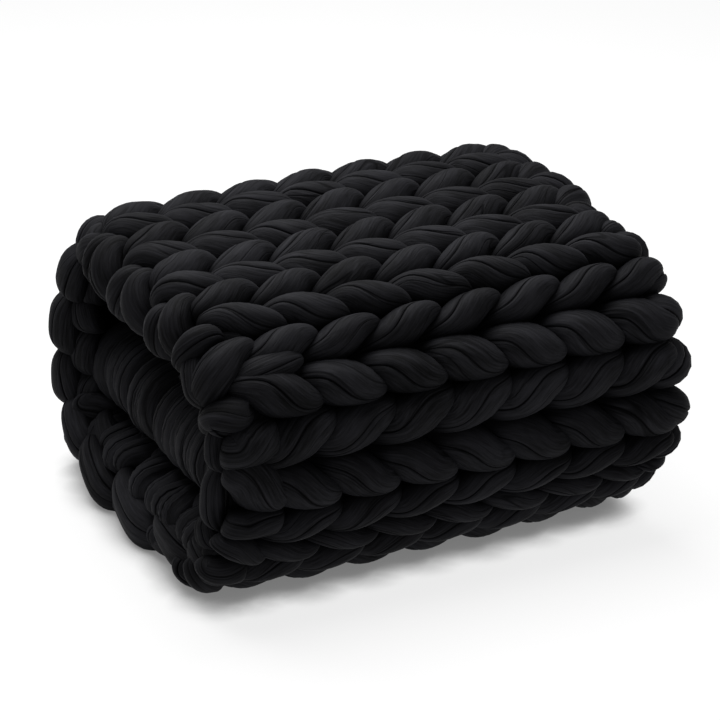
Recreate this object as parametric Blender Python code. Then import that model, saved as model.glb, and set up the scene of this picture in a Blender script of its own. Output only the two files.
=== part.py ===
"""A weighted blanket, hand-knitted from one very thick yarn and folded into a bundle of six layers.

The blanket is one knitted sheet, so it is one closed solid. Its section, seen along X, is one
back-and-forth line: its first layer lies underneath, with its side edge turned up at the rear. It goes
up the front, back over the top and down the rear, turns in over the first layer, and folds to and fro
inside. Metres, +Z up, the stitch columns run along X, the front faces -Y, and the origin is at the
middle of the underside.
"""

import math
from collections import namedtuple

import bpy
import numpy as np

# The bundle
DEPTH = 0.450
HEIGHT = 0.294
LEFT_FRONT = -0.256  # the left end stands a little further out at the front than at the rear
LEFT_TOP = -0.246
LEFT_REAR = -0.234
RIGHT = 0.246
RIGHT_INNER = 0.205  # the inner layers stop short of the outer one
SECOND_SET_BACK = 0.016  # layer two, behind the left rim
ROLL_SET_BACK = 0.026  # layers three and four, a fold with a round nose to the left
FIFTH_SET_BACK = 0.003  # layer five, the under half of the top's round nose

# The fabric
PLY = 0.045
HALF_PLY = PLY / 2
INNER_PLY = 0.040  # pressed a little thinner inside
HALF_INNER = INNER_PLY / 2
GAP = 0.003

# Outer corners of the bundle, as radii of its outside
CORNER_FRONT_LOW = 0.112
CORNER_FRONT_TOP = 0.110
CORNER_REAR_TOP = 0.130
CORNER_REAR_LOW = 0.148  # of the first layer, whose side edge turns up under the rear
EDGE_TURN = 30  # degrees of that turn
REAR_TURN_IN = CORNER_REAR_LOW - PLY - GAP  # of the rear, which turns in over the first layer

# Middle heights of the inner layers: three lie on the first, and the fifth hangs under the top
SECOND = CORNER_REAR_LOW - REAR_TURN_IN + HALF_PLY
THIRD = SECOND + INNER_PLY + GAP
FOURTH = THIRD + INNER_PLY + GAP
FIFTH = HEIGHT - PLY - GAP - HALF_INNER

# Clearances inside
FOLD_CLEAR = 0.0035
LAST_EDGE_BACK = 0.050  # the last side edge stands this far in front of the rear's inner face

# Stitches
STITCHES = 8  # legs in a row, from end to end
ROW = 0.040  # width of one half column of stitches, measured on the stitch side
ROW_UNDER = 0.0385  # squeezed a little where it carries the bundle
ROW_FRONT_TOP = 0.043  # fuller round the front's top corner
INNER_ROW = 0.060
POINTS_PER_LEG = 3
POINTS_PER_ROW = 3
INNER_POINTS_PER_ROW = 2
LEG_SLANT = 0.6  # how far a leg leans over one row, as a share of its length
LEG_JOIN = 0.3  # how full a leg is where it meets the next one in its row
LEG_SKEW = 1.3  # over 1, a leg is fullest towards its right tip
GROOVE = 0.012  # depth between the legs
INNER_GROOVE = 0.005
PRESS = 0.0035  # how far the lowest crests are pressed flat by the surface under them

# Ends of the layers
CHAIN_DEPTH = 0.016  # the bound-off chain on the left rim
NOSE_DEPTH = 0.044  # a rounded fold at an end
CHAIN_RELIEF = 0.007
RIM_STEPS = 6
END_STEPS = 4
INSIDE_POINTS = 6
SELVEDGE = ((0.0, 0.5), (0.007, 0.85), (0.018, 1.0))  # run in from a side edge, share of the full ply

YARN_COLOUR = (0.012, 0.012, 0.014)

# One stretch of the section: a straight run, or a bend with its radius and its degrees to the left, the
# X of its two ends, the shape of its left end, and the width of a row on it. The left end is a bound-off
# chain at 0, a fold rounded from the stitch side down at 1, and one rounded from the other side up at -1.
Stretch = namedtuple("Stretch", "name run bend turn left right fold row")


def fold_centre(corner, corner_height, low, high):
    """Distance from a wall's outside to the centre of the fold between two layers, clear of its corner."""
    bend = (high - low) / 2
    room = corner - PLY - bend - HALF_INNER - FOLD_CLEAR
    rise = corner_height - (low + high) / 2
    return corner - math.sqrt(max(room**2 - rise**2, 0))


def section():
    """The stretches of the folded sheet, from its first side edge under the rear to its last inside."""
    rear_centre = DEPTH / 2 - REAR_TURN_IN
    first = rear_centre + DEPTH / 2 - CORNER_FRONT_LOW
    front = HEIGHT - CORNER_FRONT_LOW - CORNER_FRONT_TOP
    top = DEPTH - CORNER_FRONT_TOP - CORNER_REAR_TOP
    rear = HEIGHT - CORNER_REAR_TOP - CORNER_REAR_LOW
    low_front = fold_centre(CORNER_FRONT_LOW, CORNER_FRONT_LOW, SECOND, THIRD) - DEPTH / 2
    high_front = fold_centre(CORNER_FRONT_TOP, HEIGHT - CORNER_FRONT_TOP, FOURTH, FIFTH) - DEPTH / 2
    last_end = DEPTH / 2 - PLY - LAST_EDGE_BACK
    second = LEFT_TOP + SECOND_SET_BACK
    roll = LEFT_TOP + ROLL_SET_BACK
    fifth = LEFT_TOP + FIFTH_SET_BACK
    inner = RIGHT_INNER
    edge_bend = CORNER_REAR_LOW - HALF_PLY
    low_bend = CORNER_FRONT_LOW - HALF_PLY
    top_bend = CORNER_FRONT_TOP - HALF_PLY
    rear_bend = CORNER_REAR_TOP - HALF_PLY
    turn_in_bend = REAR_TURN_IN - HALF_PLY
    layer_bend = (INNER_PLY + GAP) / 2
    return [
        Stretch("turned-up edge", 0, edge_bend, -EDGE_TURN, LEFT_REAR, RIGHT, 0, ROW_UNDER),
        Stretch("first layer", first, 0, 0, LEFT_TOP, RIGHT, 0, ROW_UNDER),
        Stretch("front low corner", 0, low_bend, -90, LEFT_FRONT, RIGHT, 0, ROW),
        Stretch("front", front, 0, 0, LEFT_FRONT, RIGHT, 0, ROW),
        Stretch("front top corner", 0, top_bend, -90, LEFT_FRONT, RIGHT, 0.6, ROW_FRONT_TOP),
        Stretch("top layer", top, 0, 0, LEFT_TOP, RIGHT, 1, ROW),
        Stretch("rear top corner", 0, rear_bend, -90, LEFT_REAR, RIGHT, 0.5, ROW),
        Stretch("rear", rear, 0, 0, LEFT_REAR, RIGHT, 0, ROW),
        Stretch("rear turn in", 0, turn_in_bend, -90, LEFT_REAR, RIGHT, 0, ROW),
        Stretch("second layer", rear_centre - low_front, 0, 0, second, inner, 0, INNER_ROW),
        Stretch("low front fold", 0, layer_bend, -180, second, inner, -0.4, INNER_ROW),
        Stretch("third layer", rear_centre - low_front, 0, 0, roll, inner, -1, INNER_ROW),
        Stretch("rear fold", 0, layer_bend, 180, roll, inner, -1, INNER_ROW),
        Stretch("fourth layer", rear_centre - high_front, 0, 0, roll, inner, -1, INNER_ROW),
        Stretch("high front fold", 0, (FIFTH - FOURTH) / 2, -180, roll, inner, -1, INNER_ROW),
        Stretch("fifth layer", last_end - high_front, 0, 0, fifth, inner, -1, INNER_ROW),
    ]


def start_of(turn, bend):
    """Y, Z and heading at the first side edge. The lowest crests press flat on the surface below."""
    swing = math.radians(turn)
    y = DEPTH / 2 - REAR_TURN_IN + bend * math.sin(swing)
    z = HALF_PLY - PRESS + bend * (1 - math.cos(swing))
    return y, z, math.pi + swing


def walk(stretches, step=0.0005):
    """Follows the section and returns named arrays along it: place, heading, ends, fold and row count.

    A row is counted by the length of the stitch side, so a bend round the stitch side has more rows.
    """
    y, z, heading = start_of(EDGE_TURN, CORNER_REAR_LOW - HALF_PLY)
    rows = 0.0
    track = {name: [] for name in ("y", "z", "heading", "rows", "left", "right", "fold", "inner")}
    for part in stretches:
        turn = math.radians(part.turn)
        length = part.run + part.bend * abs(turn)
        count = max(1, round(length / step))
        for _ in range(count):
            heading += turn / count / 2
            y += math.cos(heading) * length / count
            z += math.sin(heading) * length / count
            heading += turn / count / 2
            rows += (length + HALF_PLY * abs(turn)) / count / part.row
            here = (y, z, heading, rows, part.left, part.right, part.fold, float(part.row == INNER_ROW))
            for values, value in zip(track.values(), here):
                values.append(value)
    return {name: np.array(values) for name, values in track.items()}


def soften(values, reach):
    """Spreads each step of the values over the reach, so one stretch leads smoothly into the next."""
    padded = np.pad(values, reach, mode="edge")
    kernel = np.hanning(2 * reach + 1)
    return np.convolve(padded, kernel / kernel.sum(), mode="valid")


def stations(track):
    """Row counts at which the sheet has a line of points across it, closer at its two side edges."""
    inner_start = track["rows"][np.argmax(track["inner"] > 0.5)]
    last = track["rows"][-1]
    outer = np.arange(1, round(inner_start * POINTS_PER_ROW)) / POINTS_PER_ROW
    inner = np.arange(outer[-1] + 1 / INNER_POINTS_PER_ROW, last - 0.6, 1 / INNER_POINTS_PER_ROW)
    start = [run / ROW_UNDER for run, _ in SELVEDGE]
    end = [last - run / INNER_ROW for run, _ in reversed(SELVEDGE)]
    outer = outer[outer > start[-1] + 0.2]
    return np.concatenate([start, outer, inner, end])


def swell(share, sharpness):
    """A smooth bulge over 0 to 1: none at its two ends, full at the middle."""
    return np.sin(np.pi * np.clip(share, 0, 1)) ** sharpness


def stitch_side(rows, inner):
    """Lean and depth of the stitch side, as arrays of a line of points for each station.

    Each row is a line of slanting legs, and neighbouring rows slant opposite ways, so the lean goes to
    and fro. A leg is fullest towards its right tip, which lies over the tucked start of the next one.
    """
    points = STITCHES * POINTS_PER_LEG + 1
    column = np.arange(points)[None, :]
    row = rows[:, None]
    along = (column % POINTS_PER_LEG) / POINTS_PER_LEG
    across = row % 1.0
    leg = LEG_JOIN + (1 - LEG_JOIN) * swell(along**LEG_SKEW, 0.6)
    full = leg * swell(across, 0.5)
    groove = GROOVE + (INNER_GROOVE - GROOVE) * inner[:, None]
    fade = np.clip(np.minimum(column, points - 1 - column) / POINTS_PER_LEG, 0, 1)
    lean = (0.5 - np.abs((row % 2.0) - 1.0)) * LEG_SLANT * fade
    share = (column / POINTS_PER_LEG + lean) / STITCHES
    return share, groove * (1 - full)


def rim(share, outer, inner, depth, fold):
    """Points round the end of a layer, for shares 0 (stitch side) to 1 (other side).

    Returns the distance in from the end and the height through the ply. It blends a half round
    (fold 0) with a quarter round that leaves the stitch side (fold 1) or the other side (fold -1).
    """
    quarter = share * np.pi / 2
    half = share * np.pi
    down = np.clip(fold, 0, 1)[:, None]
    up = np.clip(-fold, 0, 1)[:, None]
    flat = 1 - down - up
    reach = flat * np.sin(half) + down * np.sin(quarter) + up * np.cos(quarter)
    height = flat * (1 + np.cos(half)) / 2 + down * np.cos(quarter) + up * (1 - np.sin(quarter))
    return depth[:, None] * (1 - reach), -inner[:, None] + (outer + inner)[:, None] * height


def sheet_loops(track):
    """X, Y and Z of a closed loop of points round the sheet at each station."""
    rows = stations(track)
    at = {name: np.interp(rows, track["rows"], track[name]) for name in track}
    last = track["rows"][-1]
    from_edge = np.minimum(rows * ROW_UNDER, (last - rows) * INNER_ROW)
    thickness = np.interp(from_edge, [run for run, _ in SELVEDGE], [full for _, full in SELVEDGE])
    half = (HALF_PLY + (HALF_INNER - HALF_PLY) * at["inner"]) * thickness

    share, depth = stitch_side(rows, at["inner"])
    stitch_height = half[:, None] - depth * thickness[:, None]
    left_depth = CHAIN_DEPTH + (NOSE_DEPTH - CHAIN_DEPTH) * np.abs(at["fold"])
    right_fold = 1 - at["inner"]
    right_depth = HALF_INNER + (NOSE_DEPTH - HALF_INNER) * right_fold
    first = at["left"] + left_depth * (1 - np.clip(-at["fold"], 0, 1))
    final = at["right"] - right_depth
    stitch_x = first[:, None] + (final - first)[:, None] * share

    steps = np.arange(1, END_STEPS)[None, :] / END_STEPS
    right_in, right_height = rim(steps, stitch_height[:, -1], half, right_depth, right_fold)
    right_x = at["right"][:, None] - right_in

    inside = np.linspace(1, 0, INSIDE_POINTS)[None, :]
    inside_left = at["left"] + left_depth * (1 - np.clip(at["fold"], 0, 1))
    inside_right = at["right"] - right_depth * (1 - right_fold)
    inside_x = inside_left[:, None] + (inside_right - inside_left)[:, None] * inside
    inside_height = np.repeat(-half[:, None], INSIDE_POINTS, axis=1)

    steps = np.arange(RIM_STEPS - 1, 0, -1)[None, :] / RIM_STEPS
    left_in, left_height = rim(steps, stitch_height[:, 0], half, left_depth, at["fold"])
    chain = (1 - swell((rows % 1.0)[:, None], 0.5) * swell((2 * steps) % 1.0, 0.5)) * CHAIN_RELIEF
    left_x = at["left"][:, None] + left_in + chain * thickness[:, None]

    x = np.concatenate([stitch_x, right_x, inside_x, left_x], axis=1)
    height = np.concatenate([stitch_height, right_height, inside_height, left_height], axis=1)
    y = at["y"][:, None] - np.sin(at["heading"])[:, None] * height
    z = at["z"][:, None] + np.cos(at["heading"])[:, None] * height
    return np.stack([x, y, np.maximum(z, 0)], axis=-1)


def closed_mesh(name, loops):
    """Skins the loops into one closed mesh, with a flat face over the first and the last of them."""
    count, around = loops.shape[:2]
    index = np.arange(count * around).reshape(count, around)
    near = index[:-1]
    far = index[1:]
    quads = np.stack([near, np.roll(near, -1, axis=1), np.roll(far, -1, axis=1), far], axis=-1)
    faces = quads.reshape(-1, 4).tolist()
    faces.append(index[0][::-1].tolist())
    faces.append(index[-1].tolist())
    mesh = bpy.data.meshes.new(name)
    mesh.from_pydata(loops.reshape(-1, 3).tolist(), [], faces)
    mesh.validate()
    mesh.shade_smooth()
    return mesh


def centred(loops):
    """The loops moved so that the origin is at the middle of the underside."""
    low = loops.min(axis=(0, 1))
    high = loops.max(axis=(0, 1))
    return loops - np.array([(low[0] + high[0]) / 2, (low[1] + high[1]) / 2, low[2]])


def yarn_material():
    material = bpy.data.materials.new("black_yarn")
    material.use_nodes = True
    shader = material.node_tree.nodes["Principled BSDF"]
    shader.inputs["Base Color"].default_value = (*YARN_COLOUR, 1)
    shader.inputs["Roughness"].default_value = 0.85
    shader.inputs["Metallic"].default_value = 0.0
    return material


def make_blanket():
    track = walk(section())
    for name, reach in (("left", 60), ("right", 40), ("fold", 60), ("inner", 40)):
        track[name] = soften(track[name], reach)
    mesh = closed_mesh("knitted_blanket", centred(sheet_loops(track)))
    mesh.materials.append(yarn_material())
    blanket = bpy.data.objects.new("knitted_blanket", mesh)
    bpy.context.scene.collection.objects.link(blanket)


for old in list(bpy.data.objects):
    bpy.data.objects.remove(old, do_unlink=True)
make_blanket()
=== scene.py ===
"""A hand-knitted weighted blanket in thick black yarn, folded into a bundle.

Each course of the knitting is one strand of yarn, which runs along the folded sheet and loops to and fro
along X. A stitch shows as two plump slanting legs; its head and foot lie behind them. The left rim is a
bound-off chain, and inside it show the rounded ends of the inner layers. Metres, +Z up, front at -Y.

A place on the knit has three numbers: s counts the rows along the folded sheet, q runs along X and then
round the ends of the rows, and the height is over the crests, so a strand's middle lies below 0.
"""
import math
from collections import namedtuple

import bpy
import numpy as np
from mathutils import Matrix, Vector


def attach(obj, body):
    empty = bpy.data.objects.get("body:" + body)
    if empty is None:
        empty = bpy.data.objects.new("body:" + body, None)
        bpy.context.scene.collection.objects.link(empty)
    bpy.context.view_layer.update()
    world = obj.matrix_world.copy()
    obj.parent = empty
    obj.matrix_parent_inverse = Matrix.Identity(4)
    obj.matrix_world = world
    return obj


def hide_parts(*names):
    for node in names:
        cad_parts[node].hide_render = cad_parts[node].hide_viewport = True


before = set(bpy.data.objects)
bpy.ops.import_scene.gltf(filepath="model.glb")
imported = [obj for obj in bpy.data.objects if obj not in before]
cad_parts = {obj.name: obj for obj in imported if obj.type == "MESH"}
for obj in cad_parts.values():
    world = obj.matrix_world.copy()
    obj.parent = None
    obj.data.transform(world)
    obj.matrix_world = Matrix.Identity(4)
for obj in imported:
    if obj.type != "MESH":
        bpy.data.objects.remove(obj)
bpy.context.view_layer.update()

# The folded sheet, as in the solid
DEPTH = 0.450
HEIGHT = 0.294
SHIFT_X = 0.0035  # from the sheet's own middle to the middle of the box
CORNER_FRONT_LOW = 0.112
CORNER_FRONT_TOP = 0.110
CORNER_REAR_TOP = 0.130
CORNER_REAR_LOW = 0.148
EDGE_TURN = 30
PRESS = 0.0035
PLY = 0.045
HALF_PLY = PLY / 2
INNER_PLY = 0.040
HALF_INNER = INNER_PLY / 2
GAP = 0.003
REAR_TURN_IN = CORNER_REAR_LOW - PLY - GAP
SECOND = CORNER_REAR_LOW - REAR_TURN_IN + HALF_PLY
THIRD = SECOND + INNER_PLY + GAP
FOURTH = THIRD + INNER_PLY + GAP
FIFTH = HEIGHT - PLY - GAP - HALF_INNER
LOW_FRONT_FOLD = -0.122  # Y of the centres of the front folds, and where the last edge ends
HIGH_FRONT_FOLD = -0.115
LAST_EDGE = 0.130

# Left ends of the outer layer, as X from the sheet's own middle
RIM_LEFT = -0.238
FRONT_LEFT = -0.246
REAR_CORNER_LEFT = -0.225

# Right ends, which are drawn in where the bundle's edge is
RIGHT = 0.246
EASED_RIGHT = 0.236
DRAWN_RIGHT = 0.229
NARROW_RIGHT = 0.223
BROAD_RIGHT = 0.241
FRONT_SHARE = 0.35  # of the top, where its right end is narrow

# Radii to which the ends are rounded
ROUND_ENDS = 0.030
CORNER_ROUND = 0.036
NOSE = 0.044
RIGHT_ROUND = 0.032
LEAST_ROUND = 0.006  # of the line along which the run round an end is measured

# The ends of the inner layers
INNER_LEFT = -0.182
INNER_ROUND = 0.020
INNER_RIGHT = 0.205

# How the bundle settles
LIFTED = 0.009  # of the left front corner, off the floor
FRONT_LIFTED = 0.016
RIGHT_DRAWN = 0.018
SAG = 0.003

# The walk along the sheet's section, and over how many of its steps each thing changes softly
STEP = 0.0005
SOFT_ENDS = 70
SOFT_ROWS = 40
SOFT_ROOM = 4
TIGHT_FOLD = 0.040  # the radius of a bend under which its inside is short of room
ROOM_SHARE = 0.95  # of that radius, which the knit may fill

# Rows of stitches
ROW = 0.040
ROW_UNDER = 0.0385
ROW_FRONT_TOP = 0.043
INNER_ROW = 0.042
OUTER_LAST = 33  # rows in the outer layer
# Where the rows of the front lie: (evenly counted, as it is), as the upper ones are fatter
ROWS_LIE = [
    (8.5, 8.5), (9.9, 10), (10.87, 11), (11.58, 12), (12.52, 13),
    (13.62, 14), (14.84, 15), (16.05, 16), (17, 17),
]

# The legs of a row, and the courses that they belong to
PITCH = 0.060  # between the legs of a row
MIDDLE = 3  # the course whose legs keep their place where a row is drawn together
MIDDLE_LEG = 0.001 + SHIFT_X
FIRST = -1  # the course whose legs are short, but for those round the nose
FAR_LEFT = -2  # the course that shows only round the nose
FAR_LEFT_ROWS = (15, 28)
NOSE_ROWS = range(16, 27)
LAST = 7  # the course at the right end
LAST_LEG = 0.222 + SHIFT_X
LAST_SHIFT = 0.4  # share of its row's shift that the last leg takes

# A leg of a stitch, in metres, and the yarn behind it
HALF_LENGTH = 0.048
LAST_HALF_LENGTH = 0.042
HALF_WIDTH = 0.0208
HALF_THICK = 0.0195
BACK_WIDTH = 0.0075
BACK_THICK = 0.007
BACK_BOW = 0.004
LEAN = 0.41  # of a row, from a leg's middle to its tip
STEEP = 2.8  # how much steeper a leg slants at its middle than at its tips
SHORT_LEAN = 0.85  # a short leg's lean, as a share of a long one's
SHORT_STEEP = 1.7
LIFT = 0.006  # how far a right tip lies over the next leg
YARN_DEPTH = 0.0195  # of a leg's middle, below the crests
END_DEPTH = 0.8 * YARN_DEPTH  # of the line along which the run round an end is measured
ROPE = 0.026  # the radius to which a row is rounded
MOST_ROPE_TURN = 1.5

# Round a strand, in radians: how wide its creases are, and where it faces outwards
CREASE_REACH = 0.045
SECOND_CREASE_REACH = 0.14
ON_TOP = 1.57
GIRTH = 0.021  # the step of its map for each radian

# How far apart the maps of two strands start, so that their streaks differ
COURSE_MAP_STEP = 3.7
RUN_MAP_STEP = 0.9
LOOP_MAP_STEP = 0.37

# Points of a mesh
LEG_RINGS = 28
BAR_RINGS = 3
AROUND = 36
INNER_RINGS = 16
INNER_AROUND = 14
RING_CROWDING = 1.35  # of the rings towards a leg's tips
LOOP_CROWDING = 1.4
CREASE_CROWDING = 1.8  # of a ring's points towards the crease

COURSE_SEED = 400
LEAF_SEED = 5
ENDS_SEED = 77

# The rounded ends of the inner layers, on the left
ROLL_LEFT = -0.213
ROLL_RADIUS = (FOURTH - THIRD) / 2 + HALF_INNER
ROLL_SAG = 0.022  # how far its end hangs below the middle of its layers
ROLL_CENTRE = (THIRD + FOURTH) / 2 - ROLL_SAG
SECOND_LEFT = -0.236
SECOND_SAG = 0.021
SECOND_CENTRE = SECOND - SECOND_SAG

Stretch = namedtuple("Stretch", "name run bend turn left left_round right row")


def section():
    """The stretches of the outer layer, from its side edge under the rear, round the bundle and in.

    The straight runs are what the radii of the corners leave of the bundle's depth and height.
    """
    rear_centre = DEPTH / 2 - REAR_TURN_IN
    first = rear_centre + DEPTH / 2 - CORNER_FRONT_LOW
    front = HEIGHT - CORNER_FRONT_LOW - CORNER_FRONT_TOP
    top = DEPTH - CORNER_FRONT_TOP - CORNER_REAR_TOP
    rear = HEIGHT - CORNER_REAR_TOP - CORNER_REAR_LOW
    edge_bend = CORNER_REAR_LOW - HALF_PLY
    low_bend = CORNER_FRONT_LOW - HALF_PLY
    top_bend = CORNER_FRONT_TOP - HALF_PLY
    rear_bend = CORNER_REAR_TOP - HALF_PLY
    in_bend = REAR_TURN_IN - HALF_PLY
    under_ends = (RIM_LEFT, ROUND_ENDS, RIGHT, ROW_UNDER)
    front_ends = (FRONT_LEFT, ROUND_ENDS, RIGHT, ROW)
    rear_ends = (RIM_LEFT, ROUND_ENDS, RIGHT, ROW)
    return [
        Stretch("turned-up edge", 0, edge_bend, -EDGE_TURN, *under_ends),
        Stretch("first layer", first, 0, 0, *under_ends),
        Stretch("front low corner", 0, low_bend, -90, *front_ends),
        Stretch("front", front, 0, 0, *front_ends),
        Stretch("front top corner", 0, top_bend, -50, FRONT_LEFT, CORNER_ROUND, EASED_RIGHT, ROW_FRONT_TOP),
        Stretch("front top edge", 0, top_bend, -40, FRONT_LEFT, CORNER_ROUND, DRAWN_RIGHT, ROW_FRONT_TOP),
        Stretch("front of the top", FRONT_SHARE * top, 0, 0, FRONT_LEFT, NOSE, NARROW_RIGHT, ROW),
        Stretch("rear of the top", (1 - FRONT_SHARE) * top, 0, 0, FRONT_LEFT, NOSE, BROAD_RIGHT, ROW),
        Stretch("rear top corner", 0, rear_bend, -90, REAR_CORNER_LEFT, CORNER_ROUND, BROAD_RIGHT, ROW),
        Stretch("rear", rear, 0, 0, *rear_ends),
        Stretch("rear turn in", 0, in_bend, -90, *rear_ends),
    ]


def folds():
    """The stretches of the inner layers, which go on from the outer one, to and fro."""
    ends = (INNER_LEFT, INNER_ROUND, INNER_RIGHT, INNER_ROW)
    bend = (INNER_PLY + GAP) / 2
    rear_fold = DEPTH / 2 - REAR_TURN_IN
    return [
        Stretch("second layer", rear_fold - LOW_FRONT_FOLD, 0, 0, *ends),
        Stretch("low front fold", 0, bend, -180, *ends),
        Stretch("third layer", rear_fold - LOW_FRONT_FOLD, 0, 0, *ends),
        Stretch("rear fold", 0, bend, 180, *ends),
        Stretch("fourth layer", rear_fold - HIGH_FRONT_FOLD, 0, 0, *ends),
        Stretch("high front fold", 0, (FIFTH - FOURTH) / 2, -180, *ends),
        Stretch("fifth layer", LAST_EDGE - HIGH_FRONT_FOLD, 0, 0, *ends),
    ]


def soften(values, reach):
    """The mean of the values within the reach on either side, weighted by a raised cosine."""
    padded = np.pad(values, reach, mode="edge")
    kernel = np.hanning(2 * reach + 1)
    return np.convolve(padded, kernel / kernel.sum(), mode="valid")


def walk(stretches):
    """Arrays along the middle of the ply: place, heading, ends, and rows counted on the stitch side.

    The heading turns evenly along a stretch, and the place adds up each step times its cosine and sine. The
    rows add up (length + half a ply times the turn) / the width of a row. Room is the height over the middle
    of the ply at which the knit would pass the centre of a tight fold.
    """
    swing = math.radians(EDGE_TURN)
    bend = CORNER_REAR_LOW - HALF_PLY
    y = DEPTH / 2 - REAR_TURN_IN + bend * math.sin(swing)
    z = HALF_PLY - PRESS + bend * (1 - math.cos(swing))
    heading = math.pi + swing
    rows = 0.0
    parts = []
    for part in stretches:
        turn = math.radians(part.turn)
        length = part.run + part.bend * abs(turn)
        count = max(1, round(length / STEP))
        share = np.arange(1, count + 1) / count
        headings = heading + turn * (share - 0.5 / count)
        here = {
            "y": y + np.cumsum(np.cos(headings)) * length / count,
            "z": z + np.cumsum(np.sin(headings)) * length / count,
            "heading": heading + turn * share,
            "rows": rows + share * (length + HALF_PLY * abs(turn)) / part.row,
            "left": np.full(count, part.left + SHIFT_X),
            "left_round": np.full(count, part.left_round),
            "right": np.full(count, part.right + SHIFT_X),
            "row": np.full(count, part.row),
        }
        parts.append(here)
        y, z, rows = here["y"][-1], here["z"][-1], here["rows"][-1]
        heading += turn
    track = {name: np.concatenate([p[name] for p in parts]) for name in parts[0]}
    for name in ("left", "left_round", "right", "row"):
        track[name] = soften(track[name], SOFT_ENDS)
    even, lies = np.array(ROWS_LIE).T
    counted = track["rows"]
    track["rows"] = soften(counted + np.interp(counted, even, lies - even), SOFT_ROWS)
    track["row"] = track["row"] * np.gradient(counted) / np.gradient(track["rows"])
    tight = np.abs(np.gradient(track["heading"])) / np.hypot(np.gradient(track["y"]), np.gradient(track["z"]))
    room = np.where(tight > 1 / TIGHT_FOLD, ROOM_SHARE / np.maximum(tight, 1), 1.0)
    track["room"] = soften(room, SOFT_ROOM)
    return track


TRACK = walk(section() + folds())


def at(row, name):
    """A value of the walk at a row count, in a straight line between its steps."""
    return np.interp(row, TRACK["rows"], TRACK[name])


def ease(value, start, end):
    """0 up to the start and 1 from the end on, and between them share^2 (3 - 2 share)."""
    share = np.clip((value - start) / (end - start), 0, 1)
    return share * share * (3 - 2 * share)


def settle(x, y, z):
    """Space points, with the low front corners of the bundle a little rounder and its underside pressed flat.

    The left front corner lifts by LIFTED times eased shares of X, Y and Z, and the low front edge by up to
    FRONT_LIFTED, more of it to the right. The low right corner is drawn in by RIGHT_DRAWN. The top sags and
    swells by SAG sin(11 x + 4 y), and nothing lies below 0.
    """
    lift = LIFTED * ease(x, -0.10, -0.24) * ease(y, 0.02, -0.19) * ease(z, 0.14, 0.03)
    edge = 0.35 * ease(x, -0.20, -0.06) + 0.65 * ease(x, 0.05, 0.25)
    lift = lift + FRONT_LIFTED * edge * ease(y, -0.08, -0.21) * ease(z, 0.11, 0.02)
    drawn = RIGHT_DRAWN * ease(x, 0.15, 0.25) * ease(y, 0.10, -0.12) * ease(z, 0.13, 0.03)
    sag = SAG * np.sin(11 * x + 4 * y) * ease(z, 0.15, 0.28)
    return np.stack([x - drawn, y, np.maximum(z + lift + sag, 0)], axis=-1)


def off_the_ply(row, x, n):
    """Space points from the row count, X and the height n over the middle of the ply.

    The point is the ply's middle + n times the normal (-sin, cos) of its heading. Inside a fold the height
    stops short of the fold's own centre.
    """
    heading = at(row, "heading")
    n = np.where(np.abs(n) > at(row, "room"), at(row, "room") * np.sign(n), n)
    return settle(x, at(row, "y") - np.sin(heading) * n, at(row, "z") + np.cos(heading) * n)


def on_sheet(row, q, height):
    """Space points of the knit, which turns round at the ends of the rows.

    Past an end's start the sheet turns about a centre that lies the end's radius below the crests, so
    x = start + (radius + height) sin(turn), n = crest - radius + (radius + height) cos(turn).
    Past half a turn it runs straight on, back under the sheet.
    """
    left_round = at(row, "left_round")
    left_flat = at(row, "left") + left_round
    right_flat = at(row, "right") - RIGHT_ROUND
    beyond_right = np.maximum(q - right_flat, 0)
    beyond_left = np.maximum(left_flat - q, 0)
    right_mid = RIGHT_ROUND - END_DEPTH
    left_mid = np.maximum(left_round - END_DEPTH, LEAST_ROUND)
    right_turn = np.minimum(beyond_right / right_mid, np.pi)
    left_turn = np.minimum(beyond_left / left_mid, np.pi)
    right_on = beyond_right - right_turn * right_mid
    left_on = beyond_left - left_turn * left_mid
    x = np.clip(q, left_flat, right_flat)
    x = x + (RIGHT_ROUND + height) * np.sin(right_turn) - (left_round + height) * np.sin(left_turn)
    x = x + right_on * np.cos(right_turn) - left_on * np.cos(left_turn)
    radius = np.where(beyond_right > 0, RIGHT_ROUND, left_round)
    turn = np.maximum(right_turn, left_turn)
    n = HALF_PLY - radius + (radius + height) * np.cos(turn) - (right_on + left_on) * np.sin(turn)
    return off_the_ply(row, x, n)


def on_left_end(y, z, height):
    """Space points on the plane of the left end, with the height out to the left."""
    return settle(-height, y, z)


def on_nose(centre_z, radius, left):
    """Returns a place function for a fold's rounded left end, which runs along Y.

    q is the run round the nose from the middle of its upper side. The turn is q over the radius at which the
    strands' middles lie, x = centre - (radius + height) sin(turn), z = centre + (radius + height) cos(turn).
    """
    centre_x = left + radius
    mid = radius - END_DEPTH

    def place(y, q, height):
        """Space points round the nose. Before its turn and after it, the run goes straight on along X."""
        turn = np.clip(q / mid, 0, np.pi)
        before = np.minimum(q, 0)
        after = np.maximum(q - np.pi * mid, 0)
        x = centre_x - (radius + height) * np.sin(turn) - before + after
        return settle(x, y, centre_z + (radius + height) * np.cos(turn))

    return place


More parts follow.
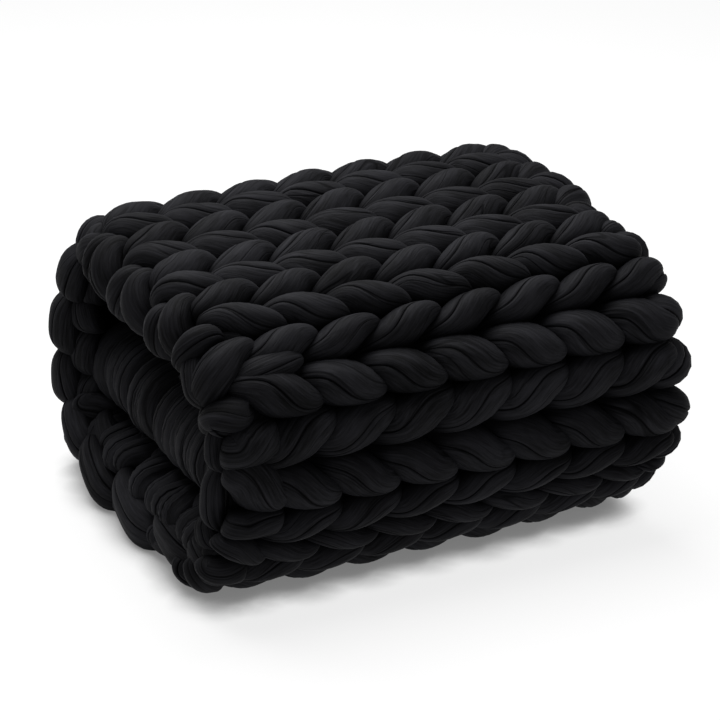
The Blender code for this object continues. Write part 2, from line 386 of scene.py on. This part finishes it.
def swept(path, place, around=AROUND):
    """Carries an oval with a crease along a path, and returns its points with their maps, in metres.

    At each ring the point at angle a is the middle + wide cos(a) dent sideways + thick sin(a) dent up, where
    dent = 1 - depth exp(-|a - a0| / CREASE_REACH) less a wider, rounder second crease. The angles crowd round
    the crease at a0. Where the path has a row's middle, the row is rounded like a rope: a point that far
    off it goes round an arc of radius ROPE. The maps are the way along the strand, the way round it from its
    crease, and the depth below its crest.
    """
    unit = path["unit"]
    ds = np.gradient(path["s"], axis=-1) * unit
    dq = np.gradient(path["q"], axis=-1)
    size = np.maximum(np.hypot(ds, dq), 1e-9)
    side_s, side_q = (dq / size)[..., None], (-ds / size)[..., None]
    g = np.linspace(-1, 1, around, endpoint=False)
    off = np.pi * np.sign(g) * np.abs(g) ** CREASE_CROWDING
    angle = path["crease"][..., None] + off
    dent = 1 - path["crease_depth"][..., None] * np.exp(-np.abs(off) / CREASE_REACH)
    off_second = (off - path["second_crease"][..., None]) / SECOND_CREASE_REACH
    dent = dent - path["second_crease_depth"][..., None] * np.exp(-(off_second**2))
    sideways = path["wide"][..., None] * np.cos(angle) * dent
    unit = unit[..., None]
    s = path["s"][..., None] + sideways * side_s / unit
    q = path["q"][..., None] + sideways * side_q
    h = path["h"][..., None] + path["thick"][..., None] * np.sin(angle) * dent
    if "row_middle" in path:
        row_middle = path["row_middle"][..., None]
        rope = ROPE * unit / ROW
        off_row = np.clip((s - row_middle) * unit / rope, -MOST_ROPE_TURN, MOST_ROPE_TURN)
        s = row_middle + rope * np.sin(off_row) / unit
        h = h - rope * (1 - np.cos(off_row))
    below = path["top"][..., None] - h
    middle = place(path["s"], path["q"], path["h"])
    steps = np.linalg.norm(np.diff(middle, axis=-2), axis=-1)
    along = np.concatenate([np.zeros_like(steps[..., :1]), np.cumsum(steps, axis=-1)], axis=-1)
    along = along + path["strand_start"]
    maps = np.stack(np.broadcast_arrays(along[..., None], off * GIRTH, below), axis=-1)
    return place(s, q, h), maps


def skin(points, start):
    """Faces of many tubes at once: quads between their rings, and one face over each end.

    points is tubes x rings x points of a ring x 3, and start is the number of its first vertex. A tube whose
    volume comes out negative, from the sum of (a x b) . c + (a x c) . d over its quads, is turned round.
    """
    many, rings, around = points.shape[:3]
    index = start + np.arange(many * rings * around).reshape(many, rings, around)
    near, far = index[:, :-1], index[:, 1:]
    quads = np.stack([near, np.roll(near, -1, -1), np.roll(far, -1, -1), far], axis=-1).reshape(many, -1, 4)
    a, b, c, d = (points.reshape(-1, 3)[quads[..., i] - start] for i in range(4))
    volume = (np.cross(a, b) * c).sum((-1, -2)) + (np.cross(a, c) * d).sum((-1, -2))
    inside_out = (volume < 0)[:, None]
    sides = np.where(inside_out[..., None], quads[..., ::-1], quads).reshape(-1, 4)
    first, last = index[:, 0], index[:, -1]
    starts = np.where(inside_out, first, first[:, ::-1])
    ends = np.where(inside_out, last[:, ::-1], last)
    return sides.tolist() + starts.tolist() + ends.tolist()


def knit(name, tubes, material):
    """One piece from swept tubes, each an array of rings, closed at its two ends."""
    verts, faces, maps = [], [], []
    start = 0
    for points, own_maps in tubes:
        faces += skin(points.reshape((-1,) + points.shape[-3:]), start)
        verts.append(points.reshape(-1, 3))
        maps.append(own_maps.reshape(-1, 3))
        start += len(verts[-1])
    mesh = bpy.data.meshes.new(name)
    mesh.from_pydata(np.concatenate(verts).tolist(), [], faces)
    maps = np.concatenate(maps)
    corners = np.empty(len(mesh.loops), np.int32)
    mesh.loops.foreach_get("vertex_index", corners)
    for layer, columns in (("strand", [0, 1]), ("depth", [2, 2])):
        values = maps[corners][:, columns].ravel().astype(np.float32)
        mesh.uv_layers.new(name=layer).data.foreach_set("uv", values)
    mesh.shade_smooth()
    mesh.materials.append(material)
    piece = bpy.data.objects.new(name, mesh)
    bpy.context.scene.collection.objects.link(piece)
    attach(piece, "root")
    return piece


# How far each row's legs are shifted to the right of the even grid, in mm, for the rows that differ
SHIFTS = {
    24: 0, 23: -9, 22: -4, 21: -17, 20: -11, 19: -26, 18: -5, 17: -5, 16: 18,
    15: 8, 14: 11, 13: 15, 12: 17, 11: 3, 10: -2, 9: -10,
}
# The pitch of the rows that are drawn together, in mm
DRAWN = {14: 57.6, 13: 57.4, 12: 57.8, 11: 58}
# Half the length of the short first leg of a row, in mm, and of those that aren't listed
SHORT = {15: 34.5, 14: 30, 13: 30, 12: 33, 11: 29, 10: 25, 9: 23}
OTHER_SHORT = 27
# How far the left end of a row's first leg sinks towards the front, in rows; less than 0 is a rise
DROOP = {
    10: -0.25, 11: -0.65, 12: -0.60, 13: -0.50, 14: -0.20,
    15: 0.80, 16: 0.90, 17: 1.10, 18: 0.8, 19: 0.4,
}
# By course and row, at the top's left front corner: the leg that lies over both its neighbours, the bulb
# that is tucked under it, and the steep leg behind them
TOPMOST = (0, 15)
BULB = (-1, 15)
STEEPEST = (-1, 16)
TOPMOST_LIFT = 0.004
TOPMOST_PUFF = 0.95
TUCKED_LIFT = -0.005
TUCKED_PUFF = 1.16


def shift_of(row):
    """How far a row's legs are shifted, in metres: as listed, or a sway of 6 mm about 8 mm."""
    return SHIFTS.get(row, 8 + 6 * math.sin(2.1 * row)) / 1000


def leg_of(index, row):
    """The middle of a leg along the row, half its length, and whether it is a short first one."""
    if index == LAST:
        return LAST_LEG + LAST_SHIFT * shift_of(row), LAST_HALF_LENGTH, False
    pitch = DRAWN.get(row, 1000 * PITCH) / 1000
    middle = MIDDLE_LEG + pitch * (index - MIDDLE) + shift_of(row)
    if index == FIRST and row not in NOSE_ROWS:
        half = SHORT.get(row, OTHER_SHORT) / 1000
        return middle + HALF_LENGTH - half, half, True
    return middle, HALF_LENGTH, False


def bulge(size, power, root):
    """1 at the middle and 0 at a tip, at size 1: (1 - size^power)^root."""
    return np.clip(1 - size**power, 0, 1) ** root


def leg_shape(index, row, run, short):
    """Shares along a leg from -1, its foot, to 1, its head: how full it is and how far it has dived.

    Both go by the distance from the leg's middle: full is a bulge, and dive is a power of the distance. The
    short legs and the steep one have a blunt foot, and the last legs have a blunt head.
    """
    size = np.abs(run)
    head = run > 0
    full = np.where(head, bulge(size, 2, 0.75), bulge(size, 2.6, 0.6))
    dive = np.where(head, size**4.5, size**3)
    if short or (index, row) in (TOPMOST, STEEPEST):
        full = np.where(head, full, bulge(size, 5, 0.5))
        dive = np.where(head, dive, size**8)
    if index == LAST:
        full = np.where(head, bulge(size, 4, 0.5), full)
        dive = np.where(head, size**8, dive)
    if (index, row) == TOPMOST:
        full = bulge(size, 2.1, 0.65)
    elif (index, row) == BULB:
        dive = np.where(head, size**2.2, dive)
    return full, dive


def slant(run, steep=STEEP):
    """How far across its row a leg has come, from -1 to 1: tanh(steep run) / tanh(steep)."""
    return np.tanh(steep * run) / math.tanh(steep)


def across(row, short, run):
    """How far from its row's middle a leg lies, in rows: LEAN times the slant.

    It slants up to the right in even rows, and down in odd ones. A short leg leans less, and in an even row
    it slants less steeply, its left end least.
    """
    even = row % 2 == 0
    if short and even:
        return SHORT_LEAN * LEAN * slant(run, SHORT_STEEP) * (1 - 0.4 * ease(-run, 0.0, 1.0))
    return (1 if even else -1) * (SHORT_LEAN if short else 1.0) * LEAN * slant(run)


def drooped(index, row, run):
    """How far a row's first leg sinks, in rows: droop ((1 - run) / 2)^1.5, or to the power 1 if it rises."""
    droop = DROOP.get(row, 0) if index == FIRST else 0
    return droop * ((1 - run) / 2) ** (1.5 if droop > 0 else 1.0)


def lift_and_puff(index, row, run, short):
    """How far a leg rises along its run, LIFT times the run, and how plump it is beside others.

    A short leg's left end isn't lowered. In the topmost leg's row, that leg rises and those to its left are
    tucked under it.
    """
    if row != TOPMOST[1] or index > TOPMOST[0]:
        return LIFT * (np.maximum(run, 0) if short else run), 1.0
    if index == TOPMOST[0]:
        return TOPMOST_LIFT, TOPMOST_PUFF
    return TUCKED_LIFT, TUCKED_PUFF


def leg(rng, index, row, deep, rings):
    """A leg of a stitch, from its head at the right to its foot in even rows, and back up in odd ones.

    Its height is -YARN_DEPTH + lift - (deep - YARN_DEPTH) dive. Its width and thickness go from those of the
    yarn behind, where it isn't full, to a leg's own, times its puff. The crease runs along near its top, and
    the second one comes up to a peak somewhere along it.
    """
    middle, half, short = leg_of(index, row)
    spread = np.sin(np.linspace(-1, 1, rings) * RING_CROWDING) / math.sin(RING_CROWDING)
    run = -spread if row % 2 == 0 else spread
    full, dive = leg_shape(index, row, run, short)
    lift, own_puff = lift_and_puff(index, row, run, short)
    puff = rng.uniform(0.96, 1.06) * at(row + 0.5, "row") / ROW * own_puff
    row_middle = row + 0.5 - drooped(index, row, run)
    turned, twisted = rng.uniform(-0.25, 0.25), rng.uniform(-0.3, 0.3)
    crease_depth = rng.uniform(0.04, 0.17)
    second_turned = rng.choice([-1, 1]) * rng.uniform(0.55, 0.9)
    second_depth = rng.choice([0, 0.03, 0.05])
    off_peak = (run - rng.uniform(-0.5, 0.5)) / 0.6
    return {
        "s": row_middle + across(row, short, run),
        "q": middle + half * run,
        "h": -YARN_DEPTH + lift - (deep - YARN_DEPTH) * dive,
        "wide": BACK_WIDTH + (HALF_WIDTH * puff - BACK_WIDTH) * full,
        "thick": BACK_THICK + (HALF_THICK * math.sqrt(puff) - BACK_THICK) * full,
        "row_middle": row_middle,
        "crease": np.pi / 2 + 0.3 + turned + twisted * run,
        "crease_depth": crease_depth * (1 - np.abs(run) ** 6),
        "second_crease": second_turned + 0.2 * run,
        "second_crease_depth": second_depth * np.exp(-(off_peak**2)),
    }


def bar(before, index, row, deep):
    """The yarn behind the knit, from the end of one leg to the start of the next, with a slight bow.

    Its q is the straight line + end BACK_BOW sin(pi share), where end is the side of the legs that it joins.
    """
    middle, half, _ = leg_of(index, row)
    next_middle, next_half, next_short = leg_of(index, row + 1)
    end = -1.0 if row % 2 == 0 else 1.0
    share = np.arange(1, BAR_RINGS + 1) / (BAR_RINGS + 1)
    start = before["s"][-1]
    finish = row + 1.5 + across(row + 1, next_short, end) - drooped(index, row + 1, end)
    s = start + (finish - start) * share
    reach = middle + half * end + (next_middle + next_half * end - middle - half * end) * share
    flat = np.zeros(BAR_RINGS)
    return {
        "s": s,
        "q": reach + end * BACK_BOW * np.sin(np.pi * share),
        "h": flat - deep,
        "wide": flat + BACK_WIDTH,
        "thick": flat + BACK_THICK,
        "row_middle": s,
        "crease": flat + before["crease"][-1],
        "crease_depth": flat,
        "second_crease": flat + before["second_crease"][-1],
        "second_crease_depth": flat,
    }


def course(index, first_row, last_row, back=PLY, rings=LEG_RINGS):
    """The path of one course's strand: legs from head to foot and back, and the bars between them."""
    rng = np.random.default_rng(COURSE_SEED + index + 50 * first_row)
    deep = back - BACK_THICK
    parts = [leg(rng, index, first_row, deep, rings)]
    for row in range(first_row + 1, last_row):
        parts.append(bar(parts[-1], index, row - 1, deep))
        parts.append(leg(rng, index, row, deep, rings))
    path = {name: np.concatenate([part[name] for part in parts]) for name in parts[0]}
    path["unit"] = at(path["s"], "row")
    path["top"] = np.zeros_like(path["s"])
    path["strand_start"] = COURSE_MAP_STEP * index + RUN_MAP_STEP * first_row
    return path


def leaves(
    rng, s, q, s_end, q_end, height, half_width, half_thick,
    swell=0.1, dive=0.012, rings=22, late=-0.16, crease_at=ON_TOP,
):
    """Paths of separate loops of yarn, each from (s, q) to (s_end, q_end), all in metres.

    The run goes from -1 to 1. A loop bows sideways by its swell times (1 - run^2), and dives at both ends by
    dive |run|^3.4. It is as wide as (1 - |run|^2.8)^0.5 times 1 + late run.
    """
    values = (s, q, s_end, q_end, height, half_width, half_thick)
    s, q, s_end, q_end, height, half_width, half_thick = (
        v[:, None] for v in np.broadcast_arrays(*(np.atleast_1d(np.asarray(v, float)) for v in values))
    )
    run = (np.sin(np.linspace(-1, 1, rings) * LOOP_CROWDING) / math.sin(LOOP_CROWDING))[None, :]
    share = (run + 1) / 2
    noise = rng.uniform(-1, 1, (len(s), 7, 1))
    plumper, turned, twisted, deeper, side, second, bowed = (noise[:, i] for i in range(7))
    bow = swell * (1 - run**2) * (0.5 + bowed)
    full = bulge(np.abs(run), 2.8, 0.5) * (1 + late * run)
    return {
        "s": s + (s_end - s) * share - bow * (q_end - q) * 0.5,
        "q": q + (q_end - q) * share + bow * (s_end - s) * 0.5,
        "h": height - dive * np.abs(run) ** 3.4,
        "wide": 0.002 + half_width * full * (1 + 0.06 * plumper),
        "thick": 0.002 + half_thick * full,
        "crease": crease_at + 0.45 * turned + 0.3 * twisted * run,
        "crease_depth": (0.17 + 0.05 * deeper) * (1 - np.abs(run) ** 4),
        "second_crease": np.sign(side) * 0.75 + 0.1 * run,
        "second_crease_depth": 0.07 * (1 + second) * (1 - run**4),
        "unit": np.ones_like(run * s),
        "top": (height + half_thick) * np.ones_like(run * s),
        "strand_start": np.arange(len(s))[:, None] * LOOP_MAP_STEP,
    }


# The loops of the bound-off edge at the left end, in mm: from (y, z) to (y, z), then x, half a width and
# half a thickness. They run down the rear, along under the rim, along the rim itself and up the front.
EDGE_LOOPS = [
    (96, 262, 128, 232, -216, 14, 12),
    (132, 248, 164, 182, -223, 18, 14),
    (174, 188, 178, 116, -224, 20, 14),
    (182, 130, 172, 62, -224, 20, 14),
    (146, 18, 66, 14, -217, 14, 13),
    (84, 16, -4, 13, -216, 13, 12),
    (12, 15, -78, 13, -214, 13, 12),
    (-62, 16, -146, 15, -211, 13, 12),
    (172, 84, 120, 24, -224, 20, 15),
    (132, 54, 48, 10, -225, 20, 16),
    (56, 46, -46, 15, -223, 21, 15),
    (-36, 46, -138, 22, -219, 19, 14),
    (-124, 58, -184, 34, -219, 16, 12),
    (-160, 96, -176, 58, -222, 10, 9),
    (-190, 160, -184, 84, -224, 9, 9),
    (-194, 200, -196, 150, -224, 7, 8),
    (-178, 213, -189, 184, -223, 8, 8),
    (-172, 206, -186, 180, -220, 11, 9),
    (-150, 250, -186, 206, -228, 13, 11),
]
# The row of loops inside it, at the rear
INNER_LOOPS = [
    (140, 224, 156, 176, -206, 15, 13),
    (160, 190, 150, 146, -210, 16, 13),
    (154, 158, 158, 98, -210, 17, 13),
    (150, 112, 152, 44, -210, 17, 13),
    (140, 70, 84, 40, -208, 16, 13),
]


def loops(rng, table):
    """Paths of the loops in a table, widest towards their second ends, with their creases turned aside."""
    y, z, y_end, z_end, x, half_width, half_thick = np.array(table, float).T / 1000
    return leaves(rng, y, z, y_end, z_end, -x, half_width, half_thick, late=0.16, crease_at=1.0)


class Socket:
    """A node's output socket, with Python's operators making Math nodes."""

    def __init__(self, graph, socket):
        self.graph = graph
        self.socket = socket

    def maths(self, operation, *others):
        """Makes a Math node of this value and the others."""
        return self.graph.node("ShaderNodeMath", {"operation": operation}, [self, *others])

    def __add__(self, other):
        return self.maths("ADD", other)

    def __sub__(self, other):
        return self.maths("SUBTRACT", other)

    def __mul__(self, other):
        return self.maths("MULTIPLY", other)

    def __rsub__(self, other):
        return self.graph.node("ShaderNodeMath", {"operation": "SUBTRACT"}, [other, self])

    __radd__ = __add__
    __rmul__ = __mul__


class Graph:
    """A material's node tree."""

    def __init__(self, name):
        self.material = bpy.data.materials.new(name)
        self.material.use_nodes = True
        self.tree = self.material.node_tree
        self.shader = self.tree.nodes["Principled BSDF"]

    def node(self, kind, settings=None, inputs=(), output=0):
        """Makes a node: its settings first, then its sockets' values or links, by place or by name."""
        node = self.tree.nodes.new(kind)
        for name, value in (settings or {}).items():
            setattr(node, name, value)
        pairs = inputs.items() if isinstance(inputs, dict) else enumerate(inputs)
        for key, value in pairs:
            self.set(node.inputs[key], value)
        return Socket(self, node.outputs[output])

    def mix(self, values):
        """Mixes two colours, A and B."""
        node = self.tree.nodes.new("ShaderNodeMix")
        node.data_type = "RGBA"
        for name, value in values.items():
            sockets = [i for i in node.inputs if i.name == name and i.enabled]
            self.set(sockets[0], value)
        return Socket(self, [o for o in node.outputs if o.enabled][0])

    def window(self, socket, low, high, floor=0.0):
        """The floor up to the low value, 1 from the high one on, and an eased step between them."""
        values = {"Value": socket, "From Min": low, "From Max": high, "To Min": floor, "To Max": 1.0}
        return self.node("ShaderNodeMapRange", {"interpolation_type": "SMOOTHSTEP"}, values)

    def streaks(self, strand, along, over, detail, rough, swerve):
        """Noise on a strand's map, with so many waves a metre along it and over it."""
        scaled = self.node("ShaderNodeVectorMath", {"operation": "MULTIPLY"}, [strand, (along, over, 1.0)])
        values = {"Vector": scaled, "Scale": 1.0, "Detail": detail, "Roughness": rough, "Distortion": swerve}
        return self.node("ShaderNodeTexNoise", {"noise_dimensions": "2D"}, values)

    def creases(self, strand, along, over, swerve, low, high):
        """Lines along a strand, 0 in them and 1 beside them, where a plain noise passes its middle."""
        noise = self.streaks(strand, along, over, 0.0, 0.5, swerve)
        return self.window((noise - 0.5).maths("ABSOLUTE"), low, high)

    def set(self, target, value):
        """Links a socket to an input, or gives the input a plain value."""
        if isinstance(value, Socket):
            self.tree.links.new(value.socket, target)
        else:
            target.default_value = value


def yarn():
    """Brushed black tube yarn: fibre streaks along the strand, fine wrinkles, painted shade in its creases, a
    soft sheen.

    The tone is 0.35 wrinkles + 0.45 fibres + 0.45 patches, eased, and darkened by painted shade in the main
    crease and the crease lines. Painted shade also takes over deep down between the strands: a near-black
    matte shader, mixed in by the depth below the crest, stands for the shade there.
    """
    g = Graph("black_yarn")
    strand = g.node("ShaderNodeUVMap", {"uv_map": "strand"})
    apart = g.node("ShaderNodeSeparateXYZ", {}, [strand], "X")
    off_crease = Socket(g, apart.socket.node.outputs["Y"])
    depth = g.node("ShaderNodeSeparateXYZ", {}, [g.node("ShaderNodeUVMap", {"uv_map": "depth"})], "X")

    fibres = g.streaks(strand, 40.0, 700.0, detail=3.0, rough=0.6, swerve=0.4)
    hairs = g.window(g.streaks(strand, 60.0, 1500.0, detail=2.0, rough=0.5, swerve=1.2), 0.62, 0.80)
    wrinkles = g.streaks(strand, 16.0, 150.0, detail=3.0, rough=0.6, swerve=0.9)
    # Painted shade in the main crease: 0 in it and 1 beside it; it darkens the tone and the shader mix.
    main_crease_shade = g.window(off_crease.maths("ABSOLUTE"), 0.0002, 0.0012)
    # Painted shade deep between the strands: 1 down to 8 mm below the crest, 0 from 23 mm down.
    clear_of_depth_shade = g.window(depth, 0.023, 0.008)
    # Crease lines along the strand: they give the bump, and painted shade in them darkens the tone and the
    # shader mix.
    shaded_crease_lines = g.creases(strand, 2.6, 34.0, swerve=0.2, low=0.002, high=0.014)
    shaded_fine_lines = g.creases(strand, 6.0, 95.0, swerve=0.3, low=0.003, high=0.022)
    patches = {"Vector": g.node("ShaderNodeTexCoord", {}, (), "Object"), "Scale": 11.0, "Detail": 3.0}
    patches = g.node("ShaderNodeTexNoise", {}, patches)

    tone = wrinkles * 0.35 + fibres * 0.45 + patches * 0.45
    tone = g.window(tone, 0.35, 0.95)
    # The random tone, darkened by painted shade in the main crease and the crease lines.
    tone = tone * (0.3 + 0.7 * main_crease_shade) * (0.58 + 0.42 * shaded_crease_lines) * (0.75 + 0.25 * shaded_fine_lines)
    black, worn = (0.0008, 0.0008, 0.0009, 1), (0.0145, 0.0145, 0.0172, 1)
    height = wrinkles * 0.30 + fibres * 0.20 + shaded_crease_lines * 0.45 + shaded_fine_lines * 0.12
    bump = g.node("ShaderNodeBump", {}, {"Height": height, "Strength": 0.4, "Distance": 0.003})
    g.set(g.shader.inputs["Base Color"], g.mix({"Factor": tone + hairs * 0.2, "A": black, "B": worn}))
    g.set(g.shader.inputs["Roughness"], 0.85 - 0.25 * fibres)
    g.set(g.shader.inputs["Normal"], bump)
    g.set(g.shader.inputs["Specular IOR Level"], 0.05)
    g.set(g.shader.inputs["Sheen Weight"], 0.015)
    g.set(g.shader.inputs["Sheen Roughness"], 0.30)
    g.set(g.shader.inputs["Sheen Tint"], (0.86, 0.87, 0.95, 1))

    # Painted shade: a near-black matte shader, mixed in deep between the strands and in the creases, stands
    # for the shade there.
    painted_shade_shader = g.node("ShaderNodeBsdfDiffuse", {}, {"Color": (0.0005, 0.0005, 0.0006, 1)})
    lit = (0.25 + 0.75 * clear_of_depth_shade) * (0.6 + 0.4 * main_crease_shade) * (0.7 + 0.3 * shaded_crease_lines)
    mixed = g.node("ShaderNodeMixShader", {}, [lit, painted_shade_shader, Socket(g, g.shader.outputs[0])])
    g.set(g.tree.nodes["Material Output"].inputs["Surface"], mixed)
    return g.material


def tucked_leaf():
    """The path of the small leaf that shows between the two rows of the top's left front corner."""
    rng = np.random.default_rng(LEAF_SEED)
    row = float(at(16, "row"))
    start, end = 15.86 * row, 16.20 * row
    leaf = leaves(rng, start, -0.206, end, -0.136, -0.012, 0.0125, 0.011, swell=0.05, dive=0.010)
    leaf["s"] = leaf["s"] / row
    leaf["unit"] = leaf["unit"] * row
    return leaf


def outer_courses(material):
    """The courses of the outer layer, each a piece of its own. The third stands for the solid."""
    for index in range(FAR_LEFT, LAST + 1):
        first, last = FAR_LEFT_ROWS if index == FAR_LEFT else (0, OUTER_LAST)
        tubes = [swept(course(index, first, last), on_sheet)]
        if index == TOPMOST[0]:
            tubes.append(swept(tucked_leaf(), on_sheet))
        piece = knit(f"course_{index - FAR_LEFT + 1}", tubes, material)
        if index == TOPMOST[0]:
            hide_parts("knitted_blanket")


def inner_courses(material):
    """The courses of the inner layers, which go on from the outer ones, in one piece."""
    last = int(TRACK["rows"][-1])
    paths = [course(index, OUTER_LAST, last, INNER_PLY, INNER_RINGS) for index in range(0, LAST)]
    tubes = [swept(path, on_sheet, INNER_AROUND) for path in paths]
    knit("inner_courses", tubes, material)


def roll_end(rng, material):
    """The rounded left end of the third and fourth layers.

    Long coarse loops stand side by side round it, each drifting a little along Y, and a few fine ones cross
    them at a slant.
    """
    roll = on_nose(ROLL_CENTRE, ROLL_RADIUS, ROLL_LEFT + SHIFT_X)
    y = np.arange(-0.166, 0.150, 0.0205)
    y = y + rng.uniform(-0.004, 0.004, len(y))
    over = rng.uniform(0.080, 0.090, len(y))
    under = rng.uniform(0.080, 0.115, len(y))
    drift = rng.uniform(-0.014, 0.014, len(y))
    width = rng.uniform(0.0155, 0.0205, len(y))
    height = -0.0135 + rng.uniform(-0.0015, 0.0015, len(y))
    places = (y + 0.008 + drift, -over, y - 0.006, under)
    coarse = leaves(rng, *places, height, width, 0.0145, swell=0.12, dive=0.004, rings=36)
    y = rng.uniform(-0.160, 0.145, 9)
    start = rng.uniform(-0.090, -0.080, len(y))
    lean = rng.uniform(-0.022, 0.006, len(y))
    places = (y - lean, start, y + lean, start + 0.150)
    fine = leaves(rng, *places, -0.0085, 0.0085, 0.0095, swell=0.15, dive=0.008, rings=26)
    knit("roll_end", [swept(coarse, roll), swept(fine, roll)], material)


def second_end(rng, material):
    """The lumpy left end of the second layer: short bowed loops side by side, and a curl on every second."""
    second = on_nose(SECOND_CENTRE, HALF_PLY, SECOND_LEFT + SHIFT_X)
    y = np.arange(-0.152, 0.150, 0.026)
    y = y + rng.uniform(-0.005, 0.005, len(y))
    turn = rng.uniform(-0.004, 0.014, len(y))
    width = rng.uniform(0.0145, 0.0185, len(y))
    drift = rng.uniform(-0.004, 0.024, len(y))
    places = (y + drift, turn - 0.052, y - drift, turn + 0.018)
    lumps = leaves(rng, *places, -0.016, width, 0.015, swell=0.35, dive=0.008, rings=30)
    y = np.arange(-0.140, 0.150, 0.052)
    y = y + rng.uniform(-0.008, 0.008, len(y))
    places = (y + 0.019, -0.030, y - 0.019, rng.uniform(-0.026, -0.004, len(y)))
    curls = leaves(rng, *places, -0.012, 0.013, 0.012, swell=0.5, dive=0.008)
    knit("second_end", [swept(lumps, second), swept(curls, second)], material)


def make_blanket(material):
    """Every piece of the blanket. The loose loops share one random source, in this order."""
    rng = np.random.default_rng(ENDS_SEED)
    outer_courses(material)
    inner_courses(material)
    edge = [swept(loops(rng, EDGE_LOOPS), on_left_end), swept(loops(rng, INNER_LOOPS), on_left_end)]
    knit("bound_off_edge", edge, material)
    roll_end(rng, material)
    second_end(rng, material)


def look_from(azimuth, elevation, distance, target, lens):
    """Makes the camera, turned to its target: so many degrees to the right of the front, and up from level.

    Its way back from the target is (sin a cos e, -cos a cos e, sin e), for azimuth a and elevation e.
    """
    a, e = math.radians(azimuth), math.radians(elevation)
    back = Vector((math.sin(a) * math.cos(e), -math.cos(a) * math.cos(e), math.sin(e)))
    data = bpy.data.cameras.new("camera")
    data.lens = lens
    data.sensor_width = 36
    camera = bpy.data.objects.new("camera", data)
    bpy.context.scene.collection.objects.link(camera)
    camera.location = Vector(target) + back * distance
    camera.rotation_mode = "QUATERNION"
    camera.rotation_quaternion = (-back).to_track_quat("-Z", "Y")
    bpy.context.scene.camera = camera


def softbox(name, size, power, location, target):
    """Makes a square lamp that faces its target."""
    data = bpy.data.lights.new(name, "AREA")
    data.shape = "SQUARE"
    data.size = size
    data.energy = power
    lamp = bpy.data.objects.new(name, data)
    bpy.context.scene.collection.objects.link(lamp)
    lamp.location = location
    lamp.rotation_mode = "QUATERNION"
    lamp.rotation_quaternion = (Vector(target) - Vector(location)).to_track_quat("-Z", "Y")


def paper():
    """White paper that glows a little, so that shadows on it stay pale, with a painted contact shadow near
    the blanket.
    """
    g = Graph("paper")
    # Painted contact shadow: the paper's glow is dimmed where the blanket is near.
    near = g.node("ShaderNodeAmbientOcclusion", {"samples": 16}, {"Distance": 0.035}, "AO")
    clear_of_painted_shadow = g.window(near, 0.25, 0.95, floor=0.22)
    g.set(g.shader.inputs["Base Color"], (0.15, 0.15, 0.15, 1))
    g.set(g.shader.inputs["Roughness"], 1.0)
    g.set(g.shader.inputs["Specular IOR Level"], 0.0)
    g.set(g.shader.inputs["Emission Color"], g.mix({"Factor": clear_of_painted_shadow, "A": (0, 0, 0, 1), "B": (1, 1, 1, 1)}))
    g.set(g.shader.inputs["Emission Strength"], 0.80)
    return g.material


def studio():
    """A floor of pale paper, a large softbox over it, a weak one in front, and even light all round."""
    softbox("top", 1.7, 73, (-0.1, 0.5, 1.75), (0, 0, 0.1))
    softbox("front", 1.6, 5, (0.2, -2.0, 0.9), (0, 0, 0.12))
    world = bpy.data.worlds.new("studio")
    world.use_nodes = True
    world.node_tree.nodes["Background"].inputs["Color"].default_value = (1, 1, 1, 1)
    world.node_tree.nodes["Background"].inputs["Strength"].default_value = 0.40
    bpy.context.scene.world = world
    bpy.context.scene.view_settings.view_transform = "Standard"
    mesh = bpy.data.meshes.new("floor")
    mesh.from_pydata([(-9, -9, 0), (9, -9, 0), (9, 9, 0), (-9, 9, 0)], [], [(0, 1, 2, 3)])
    floor = bpy.data.objects.new("floor", mesh)
    bpy.context.scene.collection.objects.link(floor)
    mesh.materials.append(paper())


make_blanket(yarn())
look_from(azimuth=-25.92, elevation=23.3, distance=2.479, target=(0.0078, 0.0, 0.137), lens=130)
studio()
